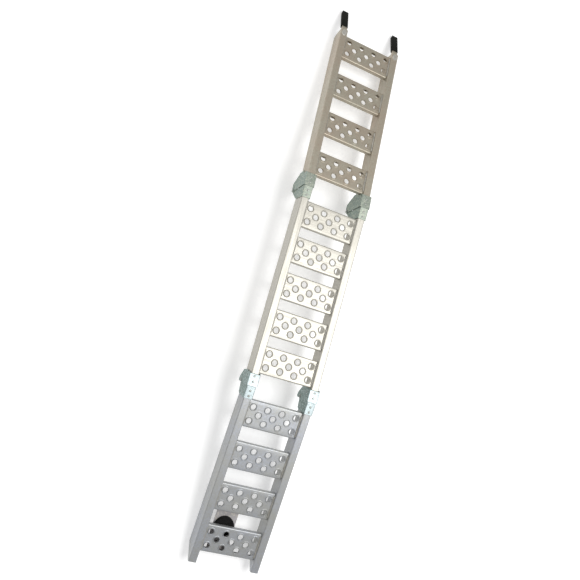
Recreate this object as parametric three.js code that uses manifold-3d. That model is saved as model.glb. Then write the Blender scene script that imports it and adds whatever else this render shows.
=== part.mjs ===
// Three-section folding dog ramp.
//
// Millimetres, +Z up, +Y up the ramp, +X across it. The ramp stands on the floor as a shallow arch:
// its feet and its bent fingers touch z = 0, and the origin is under the middle of its bounding box.
//
// Every section is drawn in its own frame: the deck line of its rails is z = 0 and y runs outward
// from the seam where the section is hinged. The middle section is drawn about its own centre.

import * as THREE from 'three';
import { mergeVertices } from 'three/addons/utils/BufferGeometryUtils.js';
import Module from 'manifold-3d';

const wasm = await Module();
wasm.setup();

// ---- driving dimensions -------------------------------------------------------------------------

const CLEARANCE = 0.3;              // gap between pieces that touch

// overall layout
const RAMP_WIDTH = 292;             // over the two rails
const MIDDLE_LENGTH = 827;          // seam to seam
const UPPER_LENGTH = 768;           // seam to the end of the upper rails, without the fingers
const LOWER_LENGTH = 712;           // seam to the tips of the feet
const ARCH_DEGREES = 8.7;           // bend of the deck at each seam

// rails: rectangular tube
const RAIL_WIDTH = 32;
const RAIL_HEIGHT = 76;
const RAIL_WALL = 3;
const RAIL_CORNER = 4;
const SEAM_GAP = 0.4;               // half of the gap between two rail ends

// treads: folded channels with punched holes
const TREAD_DEPTH = 110;
const TREAD_FLANGE = 20;
const TREAD_LIP = 13;               // the flanges' bottoms turn in this far
const TREAD_SHEET = 3;
const TREAD_BEND = 4;
const TREAD_RECESS = 11;            // tread top below the rail top
const HOLE_END_MARGIN = 21.45;      // from a tread's end to its outermost hole centres
const HOLE_EDGE_MARGIN = 26.9;      // from a tread's edge to its outer row of holes
const HOLE_RADIUS = 11;
const HOLE_SIDES = 8;
const HOLE_ROWS = [4, 3, 4];        // holes in each row

const UPPER_TREADS = 4;
const MIDDLE_TREADS = 5;
const LOWER_TREADS = 4;
const TREAD_TO_BRACKET = 1.2;       // from a hinge bracket to the first tread's edge
const TREAD_TO_RAIL_END = 19;       // from the last upper tread's edge to the end of the rails
const TREAD_TO_FOOT_TIP = 43;       // from the last lower tread's edge to the tips of the feet

// feet: the ends of the lower rails, cut off at a slope and closed with a plate
const FOOT_CUT_LENGTH = 55;
const FOOT_TIP_HEIGHT = 12;
const FOOT_PLATE = 6;               // thickness of the closed end, along the rail

// fingers: bars welded into the ends of the upper rails, with rubber sleeves
const FINGER_SIDE_GAP = 1;          // to each side wall of the rail tube
const FINGER_THICKNESS = 12;
const FINGER_INSERT = 70;
const FINGER_BEND_DEGREES = 18;
const FINGER_BEND_BACK = 4;         // the bend starts this far inside the rail end
const FINGER_NECK = 28;             // bare length after the bend
const SLEEVE_LENGTH = 108;
const SLEEVE_WALL = 3;
const SLEEVE_TIP = 7;
const SLEEVE_CORNER = 4;
const RAIL_END_NOSE = 54;           // the end of an upper rail is upright down to here
const RAIL_END_BOTTOM_BACK = 12;    // and its bottom wall stops this much shorter

// hinge brackets: channels over the rail ends, with ears below the rails
const BRACKET_SHEET = 3;
const BRACKET_SIDE_GAP = 0.3;
const BRACKET_NEST_GAP = 0.5;       // between the plates of the two halves
const BRACKET_TOP_CUT = 6;          // a wide bracket's top is shorter than its sides
const NARROW_LENGTH = 49.5;
const NARROW_EAR_END = 4;           // a narrow ear runs out this far before the bracket's end
const EAR_RADIUS = 12;              // narrow ear around its pin
const EAR_FROM_DEGREES = 150;
const EAR_TO_DEGREES = 300;
const PIN_SETBACK = 8;              // pin to seam, on the wide bracket's side

const PIN_BELOW_RAIL = 6;           // lower hinge pins, so that the folded rails clear each other
const STACK_GAP = 2.5;              // half of the gap between the two folded sections

// Each hinge: how deep its wide ears reach below the pin, how long the wide bracket is beside the
// treads and below them, and how far the bottom of its ears runs level.
const LOWER_HINGE = {
  pinDrop: RAIL_HEIGHT + PIN_BELOW_RAIL,
  earBelowPin: 30,
  length: 53.6,
  earLength: 58,
  earLevel: 24,
};
const UPPER_HINGE = {
  pinDrop: RAIL_HEIGHT + PIN_BELOW_RAIL + RAIL_HEIGHT / 2 + STACK_GAP,
  earBelowPin: 11.5,
  length: 62.3,
  earLength: 78,
  earLevel: 46,
};

// hinge pins: low round heads outside, push-on washers inside
const PIN_RADIUS = 5;
const PIN_SIDES = 12;
const PIN_HOLE_CLEARANCE = 0.5;
const PIN_HEAD_RADIUS = 7.5;
const PIN_HEAD_HEIGHT = 2.2;
const WASHER_RADIUS = 8.5;
const WASHER_SHEET = 1.6;
const PIN_END_BEYOND_WASHER = 1.2;

// rivets through the bracket tops
const RIVET_SHANK_RADIUS = 2.4;
const RIVET_HOLE_CLEARANCE = 0.4;
const RIVET_HEAD_RADIUS = 4.6;
const RIVET_CROWN_RADIUS = 2.8;
const RIVET_RIM_HEIGHT = 0.8;
const RIVET_CROWN_HEIGHT = 1.9;
const RIVET_HEAD_HEIGHT = 2.2;
const RIVET_TAIL = 6;               // shank below the bracket top, through the rail wall
const RIVET_FIRST = 18;
const RIVET_PITCH = 21;
const RIVETS_PER_BRACKET = 2;
const RIVET_SIDES = 8;

// strap tray under the last two treads, and the strap coiled in it
const TRAY_X = 39;                  // in the lower section's frame, whose x runs to the left
const TRAY_WIDTH = 92;
const TRAY_SHEET = 2;
const TRAY_FIRST_LIP = 12;          // under the last tread but one
const TRAY_LAST_LIP = 34;           // under the last tread
const TRAY_STEP = 12;               // run of the sloping ends
const TRAY_DROP = 18;
const COIL_X = 39;
const COIL_RADIUS = 41;
const COIL_HOLE_RADIUS = 9;
const COIL_HEIGHT = 15;
const COIL_ROUNDING = 3;
const COIL_SIDES = 28;
const COIL_BEYOND_GAP = 38;         // from the middle of the gap between the two treads
const CLIP_WIDTH = 12;
const CLIP_SHEET = 1.5;

// ---- worked out from the driving dimensions -----------------------------------------------------

const ARCH = THREE.MathUtils.degToRad(ARCH_DEGREES);
const MITRE = ARCH / 2;
const FINGER_BEND = THREE.MathUtils.degToRad(FINGER_BEND_DEGREES);
const RAIL_X = (RAMP_WIDTH - RAIL_WIDTH) / 2;
const TREAD_LENGTH = RAMP_WIDTH - 2 * RAIL_WIDTH - 2 * CLEARANCE;
const HOLE_PITCH = (TREAD_LENGTH - 2 * HOLE_END_MARGIN) / (Math.max(...HOLE_ROWS) - 1);
const HOLE_ROW = (TREAD_DEPTH - 2 * HOLE_EDGE_MARGIN) / (HOLE_ROWS.length - 1);
const FINGER_WIDTH = RAIL_WIDTH - 2 * RAIL_WALL - 2 * FINGER_SIDE_GAP;
const FLANGE_BOTTOM = -TREAD_RECESS - TREAD_FLANGE;
const BRACKET_TOP = CLEARANCE + BRACKET_SHEET;
const NARROW_OUTER = RAIL_WIDTH / 2 + BRACKET_SIDE_GAP + BRACKET_SHEET;
const WIDE_OUTER = NARROW_OUTER + BRACKET_NEST_GAP + BRACKET_SHEET;

// ---- solids -------------------------------------------------------------------------------------

function toSolid(geometry) {
  const bare = geometry.clone();
  for (const name of Object.keys(bare.attributes)) {
    if (name !== 'position') bare.deleteAttribute(name);
  }
  const merged = mergeVertices(bare, 1e-4);
  const vertProperties = new Float32Array(merged.attributes.position.array);
  const triVerts = new Uint32Array(merged.index.array);
  return new wasm.Manifold(new wasm.Mesh({ numProp: 3, vertProperties, triVerts }));
}

function toGeometry(solid) {
  const mesh = solid.getMesh();
  const geometry = new THREE.BufferGeometry();
  geometry.setAttribute('position', new THREE.BufferAttribute(new Float32Array(mesh.vertProperties), 3));
  geometry.setIndex(new THREE.BufferAttribute(new Uint32Array(mesh.triVerts), 1));
  const faceted = geometry.toNonIndexed();
  faceted.computeVertexNormals();
  return faceted;
}

// A straight-sided body from an outline of [y, z] points, with its width along x.
function sidePrism(outline, width, centreX = 0) {
  const shape = new THREE.Shape(outline.map(([y, z]) => new THREE.Vector2(y, z)));
  const geometry = new THREE.ExtrudeGeometry(shape, { depth: width, bevelEnabled: false });
  geometry.applyMatrix4(new THREE.Matrix4().makeBasis(
    new THREE.Vector3(0, 1, 0), new THREE.Vector3(0, 0, 1), new THREE.Vector3(1, 0, 0)));
  return geometry.translate(centreX - width / 2, 0, 0);
}

// A body of constant section along y, from an outline of [x, z] points.
function lengthPrism(outline, fromY, toY) {
  const shape = new THREE.Shape(outline.map(([x, z]) => new THREE.Vector2(x, -z)));
  const geometry = new THREE.ExtrudeGeometry(shape, { depth: toY - fromY, bevelEnabled: false });
  return geometry.rotateX(-Math.PI / 2).translate(0, fromY, 0);
}

function block(width, depth, height, x, y, z) {
  return new THREE.BoxGeometry(width, depth, height).translate(x, y, z);
}

// Turned so that a flat of the polygon faces straight down.
function rod(radius, length, sides, x, y, z, axis) {
  const geometry = new THREE.CylinderGeometry(radius, radius, length, sides);
  geometry.rotateY(Math.PI / sides);
  if (axis === 'x') geometry.rotateZ(Math.PI / 2);
  if (axis === 'z') geometry.rotateX(Math.PI / 2);
  return geometry.translate(x, y, z);
}

// The radius of a polygonal hole whose flats clear a round of the given radius.
function holeRadius(radius, sides) {
  return radius / Math.cos(Math.PI / sides);
}

function roundedRectangle(width, height, radius, centreX, centreZ, steps = 3) {
  const points = [];
  for (let corner = 0; corner < 4; corner += 1) {
    const signX = corner === 0 || corner === 3 ? 1 : -1;
    const signZ = corner < 2 ? 1 : -1;
    for (let step = 0; step <= steps; step += 1) {
      const angle = (corner + step / steps) * Math.PI / 2;
      points.push([
        centreX + signX * (width / 2 - radius) + radius * Math.cos(angle),
        centreZ + signZ * (height / 2 - radius) + radius * Math.sin(angle),
      ]);
    }
  }
  return points;
}

function arcPoints(centre, radius, fromDegrees, toDegrees, steps) {
  const points = [];
  for (let step = 0; step <= steps; step += 1) {
    const angle = THREE.MathUtils.degToRad(fromDegrees + (toDegrees - fromDegrees) * step / steps);
    points.push([centre[0] + radius * Math.cos(angle), centre[1] + radius * Math.sin(angle)]);
  }
  return points;
}

// ---- places that several pieces share -----------------------------------------------------------

// The mitred seam plane, in a section's own frame.
function seamY(z) {
  return SEAM_GAP - z * Math.tan(MITRE);
}

// The hinge pin's centre in a section's own frame. The wide bracket's section has it on its side.
function pinCentre(drop, wide) {
  const setback = wide ? PIN_SETBACK : -PIN_SETBACK;
  return [
    setback * Math.cos(MITRE) + drop * Math.sin(MITRE),
    setback * Math.sin(MITRE) - drop * Math.cos(MITRE),
  ];
}

// Places of evenly spaced treads between two margins of a section, from its seam outward.
function spreadTreads(count, length, startMargin, endMargin) {
  const first = startMargin + TREAD_DEPTH / 2;
  const last = length - endMargin - TREAD_DEPTH / 2;
  return Array.from({ length: count }, (_, index) => first + (last - first) * index / (count - 1));
}

function upperTreadCentres() {
  const margin = UPPER_HINGE.length + TREAD_TO_BRACKET;
  return spreadTreads(UPPER_TREADS, UPPER_LENGTH, margin, TREAD_TO_RAIL_END);
}

function middleTreadCentres() {
  const margin = Math.max(LOWER_HINGE.length, NARROW_LENGTH) + TREAD_TO_BRACKET;
  const fromSeam = spreadTreads(MIDDLE_TREADS, MIDDLE_LENGTH, margin, margin);
  return fromSeam.map((y) => MIDDLE_LENGTH / 2 - y);
}

function lowerTreadCentres() {
  return spreadTreads(LOWER_TREADS, LOWER_LENGTH, NARROW_LENGTH + TREAD_TO_BRACKET, TREAD_TO_FOOT_TIP);
}

function rivetPlaces() {
  return Array.from({ length: RIVETS_PER_BRACKET }, (_, index) => RIVET_FIRST + index * RIVET_PITCH);
}

// ---- pieces -------------------------------------------------------------------------------------

// A length of rail tube cut to a side outline, hollow within a second outline.
function railTube(outline, hollow, rivetYs) {
  const ys = outline.map(([y]) => y);
  const centreZ = -RAIL_HEIGHT / 2;
  const outer = roundedRectangle(RAIL_WIDTH, RAIL_HEIGHT, RAIL_CORNER, 0, centreZ);
  const inner = roundedRectangle(RAIL_WIDTH - 2 * RAIL_WALL, RAIL_HEIGHT - 2 * RAIL_WALL,
    RAIL_CORNER - RAIL_WALL, 0, centreZ, 1);
  const from = Math.min(...ys);
  const to = Math.max(...ys);
  const bore = toSolid(lengthPrism(inner, from - RAIL_HEIGHT, to + RAIL_HEIGHT))
    .intersect(toSolid(sidePrism(hollow, RAIL_WIDTH)));
  let rail = toSolid(lengthPrism(outer, from, to))
    .intersect(toSolid(sidePrism(outline, 2 * RAIL_WIDTH)))
    .subtract(bore);
  for (const y of rivetYs) {
    const radius = holeRadius(RIVET_SHANK_RADIUS + RIVET_HOLE_CLEARANCE, RIVET_SIDES);
    rail = rail.subtract(toSolid(rod(radius, 4 * RAIL_WALL, RIVET_SIDES, 0, y, 0, 'z')));
  }
  return toGeometry(rail);
}

// The side outline of a bore that runs past both ends of a rail.
function openBore(from, to) {
  const margin = RAIL_HEIGHT / 2;
  return [
    [from - margin, 0], [from - margin, -RAIL_HEIGHT],
    [to + margin, -RAIL_HEIGHT], [to + margin, 0],
  ];
}

function middleRail() {
  const half = MIDDLE_LENGTH / 2;
  const outline = [
    [-half + seamY(0), 0], [-half + seamY(-RAIL_HEIGHT), -RAIL_HEIGHT],
    [half - seamY(-RAIL_HEIGHT), -RAIL_HEIGHT], [half - seamY(0), 0],
  ];
  const rivets = rivetPlaces().flatMap((y) => [half - y, y - half]);
  return railTube(outline, openBore(-half, half), rivets);
}

function upperRail() {
  const outline = [
    [seamY(0), 0], [seamY(-RAIL_HEIGHT), -RAIL_HEIGHT],
    [UPPER_LENGTH - RAIL_END_BOTTOM_BACK, -RAIL_HEIGHT],
    [UPPER_LENGTH, -RAIL_END_NOSE],
    [UPPER_LENGTH, 0],
  ];
  return railTube(outline, openBore(0, UPPER_LENGTH), rivetPlaces());
}

function lowerRail() {
  const outline = [
    [seamY(0), 0], [seamY(-RAIL_HEIGHT), -RAIL_HEIGHT],
    [LOWER_LENGTH - FOOT_CUT_LENGTH, -RAIL_HEIGHT],
    [LOWER_LENGTH, -FOOT_TIP_HEIGHT],
    [LOWER_LENGTH, 0],
  ];
  const hollow = [
    [-RAIL_HEIGHT, 0], [-RAIL_HEIGHT, -RAIL_HEIGHT],
    [LOWER_LENGTH - FOOT_CUT_LENGTH - FOOT_PLATE, -RAIL_HEIGHT],
    [LOWER_LENGTH - FOOT_PLATE, -FOOT_TIP_HEIGHT],
    [LOWER_LENGTH - FOOT_PLATE, 0],
  ];
  return railTube(outline, hollow, rivetPlaces());
}

// A channel with its flanges turned in at the bottom and staggered rows of holes in its top.
function tread() {
  const half = TREAD_DEPTH / 2;
  const top = -TREAD_RECESS;
  const inner = half - TREAD_SHEET;
  const lip = half - TREAD_LIP;
  const lipTop = FLANGE_BOTTOM + TREAD_SHEET;
  const outline = [
    [-half, FLANGE_BOTTOM], [-lip, FLANGE_BOTTOM], [-lip, lipTop], [-inner, lipTop],
    [-inner, top - TREAD_SHEET], [inner, top - TREAD_SHEET],
    [inner, lipTop], [lip, lipTop], [lip, FLANGE_BOTTOM], [half, FLANGE_BOTTOM],
    ...arcPoints([half - TREAD_BEND, top - TREAD_BEND], TREAD_BEND, 0, 90, 2),
    ...arcPoints([TREAD_BEND - half, top - TREAD_BEND], TREAD_BEND, 90, 180, 2),
  ];
  const holes = [];
  HOLE_ROWS.forEach((count, row) => {
    const y = (row - (HOLE_ROWS.length - 1) / 2) * HOLE_ROW;
    for (let index = 0; index < count; index += 1) {
      const x = (index - (count - 1) / 2) * HOLE_PITCH;
      holes.push(toSolid(rod(HOLE_RADIUS, 4 * TREAD_SHEET, HOLE_SIDES, x, y, top, 'z')));
    }
  });
  const channel = toSolid(sidePrism(outline, TREAD_LENGTH));
  return toGeometry(holes.reduce((solid, hole) => solid.subtract(hole), channel));
}

// A bar that lies in the end of the rail tube and bends down past the rail's nose.
function finger() {
  const bendY = UPPER_LENGTH - FINGER_BEND_BACK;
  const top = -RAIL_WALL - CLEARANCE;
  const run = FINGER_NECK + SLEEVE_LENGTH - SLEEVE_TIP - CLEARANCE;
  const along = [Math.cos(FINGER_BEND), -Math.sin(FINGER_BEND)];
  const down = [-Math.sin(FINGER_BEND), -Math.cos(FINGER_BEND)];
  const innerBack = FINGER_THICKNESS * Math.tan(FINGER_BEND / 2);
  const tip = [bendY + run * along[0], top + run * along[1]];
  const outline = [
    [bendY - FINGER_INSERT, top], [bendY - FINGER_INSERT, top - FINGER_THICKNESS],
    [bendY - innerBack, top - FINGER_THICKNESS],
    [tip[0] + FINGER_THICKNESS * down[0], tip[1] + FINGER_THICKNESS * down[1]],
    tip, [bendY, top],
  ];
  return toGeometry(toSolid(sidePrism(outline, FINGER_WIDTH)));
}

// A rubber cap over the finger, in a frame whose y runs along the bent bar from the bend
// and whose z = 0 is the bar's top.
function fingerSleeve() {
  const height = FINGER_THICKNESS + 2 * (SLEEVE_WALL + CLEARANCE);
  const width = FINGER_WIDTH + 2 * (SLEEVE_WALL + CLEARANCE);
  const centreZ = -FINGER_THICKNESS / 2;
  const start = FINGER_NECK;
  const end = FINGER_NECK + SLEEVE_LENGTH;
  const outer = roundedRectangle(width, height, SLEEVE_CORNER, 0, centreZ);
  const plan = roundedRectangle(width, SLEEVE_LENGTH, SLEEVE_CORNER, 0, (start + end) / 2);
  const planShape = new THREE.Shape(plan.map(([x, y]) => new THREE.Vector2(x, y)));
  const planPrism = new THREE.ExtrudeGeometry(planShape, { depth: 2 * height, bevelEnabled: false })
    .translate(0, 0, centreZ - height);
  const cavity = block(FINGER_WIDTH + 2 * CLEARANCE, SLEEVE_LENGTH, FINGER_THICKNESS + 2 * CLEARANCE,
    0, start + SLEEVE_LENGTH / 2 - SLEEVE_TIP, centreZ);
  return toGeometry(toSolid(lengthPrism(outer, start, end))
    .intersect(toSolid(planPrism))
    .subtract(toSolid(cavity)));
}

// The wide half of a hinge: its plates pass outside the plates of the narrow half.
function wideBracket(hinge) {
  const earBottom = -hinge.pinDrop - hinge.earBelowPin;
  const outline = [
    [seamY(BRACKET_TOP), BRACKET_TOP],
    [seamY(earBottom), earBottom],
    [hinge.earLevel, earBottom],
    [hinge.earLength, -RAIL_HEIGHT],
    [hinge.earLength, FLANGE_BOTTOM - TREAD_SHEET],
    [hinge.length, FLANGE_BOTTOM - TREAD_SHEET],
    [hinge.length, -BRACKET_TOP_CUT],
    [hinge.length - BRACKET_TOP_CUT, BRACKET_TOP],
  ];
  return bracket(outline, WIDE_OUTER, pinCentre(hinge.pinDrop, true));
}

// The narrow half of a hinge: its ears reach past the seam, between the wide half's plates.
function narrowBracket(hinge) {
  const pin = pinCentre(hinge.pinDrop, false);
  const outline = [
    [seamY(BRACKET_TOP), BRACKET_TOP],
    [seamY(RAIL_WALL - RAIL_HEIGHT), RAIL_WALL - RAIL_HEIGHT],
    ...arcPoints(pin, EAR_RADIUS, EAR_FROM_DEGREES, EAR_TO_DEGREES, 8),
    [NARROW_LENGTH - NARROW_EAR_END, -RAIL_HEIGHT],
    [NARROW_LENGTH, -RAIL_HEIGHT + RAIL_WIDTH / 2],
    [NARROW_LENGTH, BRACKET_TOP],
  ];
  return bracket(outline, NARROW_OUTER, pin);
}

// A channel over the rail from its side outline, with a pin hole and rivet holes.
function bracket(outline, outer, pin) {
  const deep = 2 * (UPPER_HINGE.pinDrop + UPPER_HINGE.earBelowPin);
  const channel = block(2 * (outer - BRACKET_SHEET), 2 * MIDDLE_LENGTH, deep,
    0, 0, CLEARANCE - deep / 2);
  const pinHole = rod(holeRadius(PIN_RADIUS + PIN_HOLE_CLEARANCE, PIN_SIDES), 4 * outer, PIN_SIDES,
    0, pin[0], pin[1], 'x');
  let solid = toSolid(sidePrism(outline, 2 * outer))
    .subtract(toSolid(channel))
    .subtract(toSolid(pinHole));
  for (const y of rivetPlaces()) {
    const radius = holeRadius(RIVET_SHANK_RADIUS + RIVET_HOLE_CLEARANCE, RIVET_SIDES);
    solid = solid.subtract(toSolid(rod(radius, 4 * BRACKET_TOP, RIVET_SIDES, 0, y, 0, 'z')));
  }
  return toGeometry(solid);
}

// A pin along x, with its head at the outer end and its origin at the rail's centre.
function hingePin() {
  const headInner = WIDE_OUTER + CLEARANCE;
  const headOuter = headInner + PIN_HEAD_HEIGHT;
  const end = -WIDE_OUTER - CLEARANCE - WASHER_SHEET - PIN_END_BEYOND_WASHER;
  const shank = rod(PIN_RADIUS, headOuter - end, PIN_SIDES, (headOuter + end) / 2, 0, 0, 'x');
  const head = rod(PIN_HEAD_RADIUS, PIN_HEAD_HEIGHT, PIN_SIDES, (headInner + headOuter) / 2, 0, 0, 'x');
  return toGeometry(toSolid(shank).add(toSolid(head)));
}

// A push-on washer that keeps the pin in, in the pin's own frame.
function hingeWasher() {
  const x = -WIDE_OUTER - CLEARANCE - WASHER_SHEET / 2;
  const holeSize = holeRadius(PIN_RADIUS + CLEARANCE, PIN_SIDES);
  const disc = rod(WASHER_RADIUS, WASHER_SHEET, PIN_SIDES, x, 0, 0, 'x');
  const hole = rod(holeSize, 3 * WASHER_SHEET, PIN_SIDES, x, 0, 0, 'x');
  return toGeometry(toSolid(disc).subtract(toSolid(hole)));
}

// A domed rivet standing on the bracket's top, z = 0 at the underside of its head.
function rivet() {
  return new THREE.LatheGeometry([
    new THREE.Vector2(0, -RIVET_TAIL),
    new THREE.Vector2(RIVET_SHANK_RADIUS, -RIVET_TAIL),
    new THREE.Vector2(RIVET_SHANK_RADIUS, 0),
    new THREE.Vector2(RIVET_HEAD_RADIUS, 0),
    new THREE.Vector2(RIVET_HEAD_RADIUS, RIVET_RIM_HEIGHT),
    new THREE.Vector2(RIVET_CROWN_RADIUS, RIVET_CROWN_HEIGHT),
    new THREE.Vector2(0, RIVET_HEAD_HEIGHT),
  ], RIVET_SIDES).rotateX(Math.PI / 2);
}

// Places along the lower section that the tray and the coil share.
function trayLayout() {
  const centres = lowerTreadCentres();
  const last = centres[centres.length - 1];
  const previous = centres[centres.length - 2];
  const start = previous + TREAD_DEPTH / 2 - TRAY_FIRST_LIP;
  const end = last + TREAD_DEPTH / 2;
  const lipTop = FLANGE_BOTTOM - CLEARANCE;
  const coilY = (previous + last) / 2 + COIL_BEYOND_GAP;
  return { start, end, lipTop, floorTop: lipTop - TRAY_DROP, coilY };
}

// A folded sheet: a lip under each tread's flange and a lowered floor between them.
function strapTray() {
  const { start, end, lipTop, floorTop } = trayLayout();
  const upper = [
    [start, lipTop], [start + TRAY_FIRST_LIP, lipTop],
    [start + TRAY_FIRST_LIP + TRAY_STEP, floorTop], [end - TRAY_LAST_LIP - TRAY_STEP, floorTop],
    [end - TRAY_LAST_LIP, lipTop], [end, lipTop],
  ];
  const lower = upper.map(([y, z]) => [y, z - TRAY_SHEET]).reverse();
  return toGeometry(toSolid(sidePrism([...upper, ...lower], TRAY_WIDTH, TRAY_X)));
}

// The outer shape of the wound strap.
function strapCoil() {
  const { floorTop, coilY } = trayLayout();
  const bottom = floorTop + CLEARANCE;
  const top = bottom + COIL_HEIGHT;
  const round = COIL_ROUNDING;
  const geometry = new THREE.LatheGeometry([
    new THREE.Vector2(COIL_HOLE_RADIUS, bottom),
    new THREE.Vector2(COIL_RADIUS - round, bottom),
    new THREE.Vector2(COIL_RADIUS, bottom + round),
    new THREE.Vector2(COIL_RADIUS, top - round),
    new THREE.Vector2(COIL_RADIUS - round, top),
    new THREE.Vector2(COIL_HOLE_RADIUS, top),
    new THREE.Vector2(COIL_HOLE_RADIUS, bottom),
  ], COIL_SIDES);
  return geometry.rotateX(Math.PI / 2).translate(COIL_X, coilY, 0);
}

// A strip bent over the coil, with its two legs standing on the tray floor.
function coilClip() {
  const { floorTop, coilY } = trayLayout();
  const inner = COIL_RADIUS + CLEARANCE;
  const bottom = floorTop + CLEARANCE;
  const under = bottom + COIL_HEIGHT + CLEARANCE;
  const outline = [
    [COIL_X - inner - CLIP_SHEET, bottom], [COIL_X - inner, bottom], [COIL_X - inner, under],
    [COIL_X + inner, under], [COIL_X + inner, bottom], [COIL_X + inner + CLIP_SHEET, bottom],
    [COIL_X + inner + CLIP_SHEET, under + CLIP_SHEET], [COIL_X - inner - CLIP_SHEET, under + CLIP_SHEET],
  ];
  const solid = toSolid(lengthPrism(outline, coilY - CLIP_WIDTH / 2, coilY + CLIP_WIDTH / 2));
  return toGeometry(solid);
}

// ---- materials ----------------------------------------------------------------------------------

function metal(colour, roughness, metalness) {
  return () => new THREE.MeshStandardMaterial({ color: colour, roughness, metalness });
}

const upperAluminium = metal(0xa39d90, 0.45, 0.85);
const middleAluminium = metal(0xdedcd2, 0.4, 0.85);
const lowerAluminium = metal(0x9fa3ab, 0.42, 0.85);
const zincPlate = metal(0x84948c, 0.5, 0.7);
const zincFastener = metal(0x9a9d98, 0.4, 0.8);
const traySheet = metal(0x8f8e90, 0.5, 0.8);
const blackRubber = metal(0x161714, 0.75, 0);
const blackWebbing = metal(0x1b1b1c, 0.9, 0);

// ---- assembly -----------------------------------------------------------------------------------

function addPiece(parent, name, geometry, material, x = 0, y = 0, z = 0) {
  const mesh = new THREE.Mesh(geometry, material());
  mesh.name = name;
  mesh.position.set(x, y, z);
  parent.add(mesh);
  return mesh;
}

// A frame at a seam of the middle section, with y outward from the seam on one section.
// Where it looks down the ramp its x runs the other way, so left and right change places.
function seamFrame(parent, atUpperSeam, looksUp, tilt) {
  const turned = new THREE.Group();
  turned.position.set(0, (atUpperSeam ? 1 : -1) * MIDDLE_LENGTH / 2, 0);
  turned.rotation.z = looksUp ? 0 : Math.PI;
  parent.add(turned);
  const group = new THREE.Group();
  group.rotation.x = -tilt;
  turned.add(group);
  const leftX = looksUp ? -RAIL_X : RAIL_X;
  return { group, sides: { left: leftX, right: -leftX } };
}

function addTreads(parent, prefix, centres, material) {
  centres.forEach((y, index) => {
    addPiece(parent, `${prefix}_tread_${index + 1}`, tread(), material, 0, y, 0);
  });
}

function addRivets(parent, prefix, x) {
  rivetPlaces().forEach((y, index) => {
    addPiece(parent, `${prefix}_rivet_${index + 1}`, rivet(), zincFastener, x, y, BRACKET_TOP + CLEARANCE);
  });
}

// One half of a hinge on each rail of a section.
function addBrackets(frame, hinge, half, geometry) {
  for (const [side, x] of Object.entries(frame.sides)) {
    const prefix = `${hinge}_hinge_${side}_${half}`;
    addPiece(frame.group, `${prefix}_bracket`, geometry.clone(), zincPlate, x, 0, 0);
    addRivets(frame.group, prefix, x);
  }
}

// The pins ride with the wide brackets, their heads outside the ramp.
function addPins(frame, name, hinge) {
  const [y, z] = pinCentre(hinge.pinDrop, true);
  for (const [side, x] of Object.entries(frame.sides)) {
    const prefix = `${name}_hinge_${side}`;
    const pin = addPiece(frame.group, `${prefix}_pin`, hingePin(), zincFastener, x, y, z);
    const washer = addPiece(frame.group, `${prefix}_washer`, hingeWasher(), zincFastener, x, y, z);
    pin.rotation.z = x > 0 ? 0 : Math.PI;
    washer.rotation.z = x > 0 ? 0 : Math.PI;
  }
}

function addMiddleSection(ramp) {
  const section = new THREE.Group();
  ramp.add(section);
  for (const [side, x] of Object.entries({ left: -RAIL_X, right: RAIL_X })) {
    addPiece(section, `middle_rail_${side}`, middleRail(), middleAluminium, x, 0, 0);
  }
  addTreads(section, 'middle', middleTreadCentres(), middleAluminium);
  const lowerSeam = seamFrame(section, false, true, 0);
  addBrackets(lowerSeam, 'lower', 'wide', wideBracket(LOWER_HINGE));
  addPins(lowerSeam, 'lower', LOWER_HINGE);
  addBrackets(seamFrame(section, true, false, 0), 'upper', 'narrow', narrowBracket(UPPER_HINGE));
}

function addUpperSection(ramp) {
  const frame = seamFrame(ramp, true, true, ARCH);
  for (const [side, x] of Object.entries(frame.sides)) {
    addPiece(frame.group, `upper_rail_${side}`, upperRail(), upperAluminium, x, 0, 0);
    addPiece(frame.group, `finger_${side}`, finger(), upperAluminium, x, 0, 0);
    const sleeve = addPiece(frame.group, `finger_sleeve_${side}`, fingerSleeve(), blackRubber,
      x, UPPER_LENGTH - FINGER_BEND_BACK, -RAIL_WALL - CLEARANCE);
    sleeve.rotation.x = -FINGER_BEND;
  }
  addTreads(frame.group, 'upper', upperTreadCentres(), upperAluminium);
  addBrackets(frame, 'upper', 'wide', wideBracket(UPPER_HINGE));
  addPins(frame, 'upper', UPPER_HINGE);
}

function addLowerSection(ramp) {
  const frame = seamFrame(ramp, false, false, ARCH);
  for (const [side, x] of Object.entries(frame.sides)) {
    addPiece(frame.group, `lower_rail_${side}`, lowerRail(), lowerAluminium, x, 0, 0);
  }
  addTreads(frame.group, 'lower', lowerTreadCentres(), lowerAluminium);
  addBrackets(frame, 'lower', 'narrow', narrowBracket(LOWER_HINGE));
  addPiece(frame.group, 'strap_tray', strapTray(), traySheet);
  addPiece(frame.group, 'strap_coil', strapCoil(), blackWebbing);
  addPiece(frame.group, 'strap_clip', coilClip(), blackRubber);
}

// The tilt that brings the feet and the finger tips to the same height.
function restTilt() {
  const heel = new THREE.Vector2(LOWER_LENGTH - FOOT_CUT_LENGTH, -RAIL_HEIGHT)
    .rotateAround(new THREE.Vector2(), -ARCH);
  heel.set(-MIDDLE_LENGTH / 2 - heel.x, heel.y);
  const sleeveBottom = -FINGER_THICKNESS - SLEEVE_WALL - CLEARANCE;
  const tip = new THREE.Vector2(FINGER_NECK + SLEEVE_LENGTH, sleeveBottom)
    .rotateAround(new THREE.Vector2(), -FINGER_BEND)
    .add(new THREE.Vector2(UPPER_LENGTH - FINGER_BEND_BACK, -RAIL_WALL - CLEARANCE))
    .rotateAround(new THREE.Vector2(), -ARCH);
  tip.x += MIDDLE_LENGTH / 2;
  return -Math.atan2(tip.y - heel.y, tip.x - heel.x);
}

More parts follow.
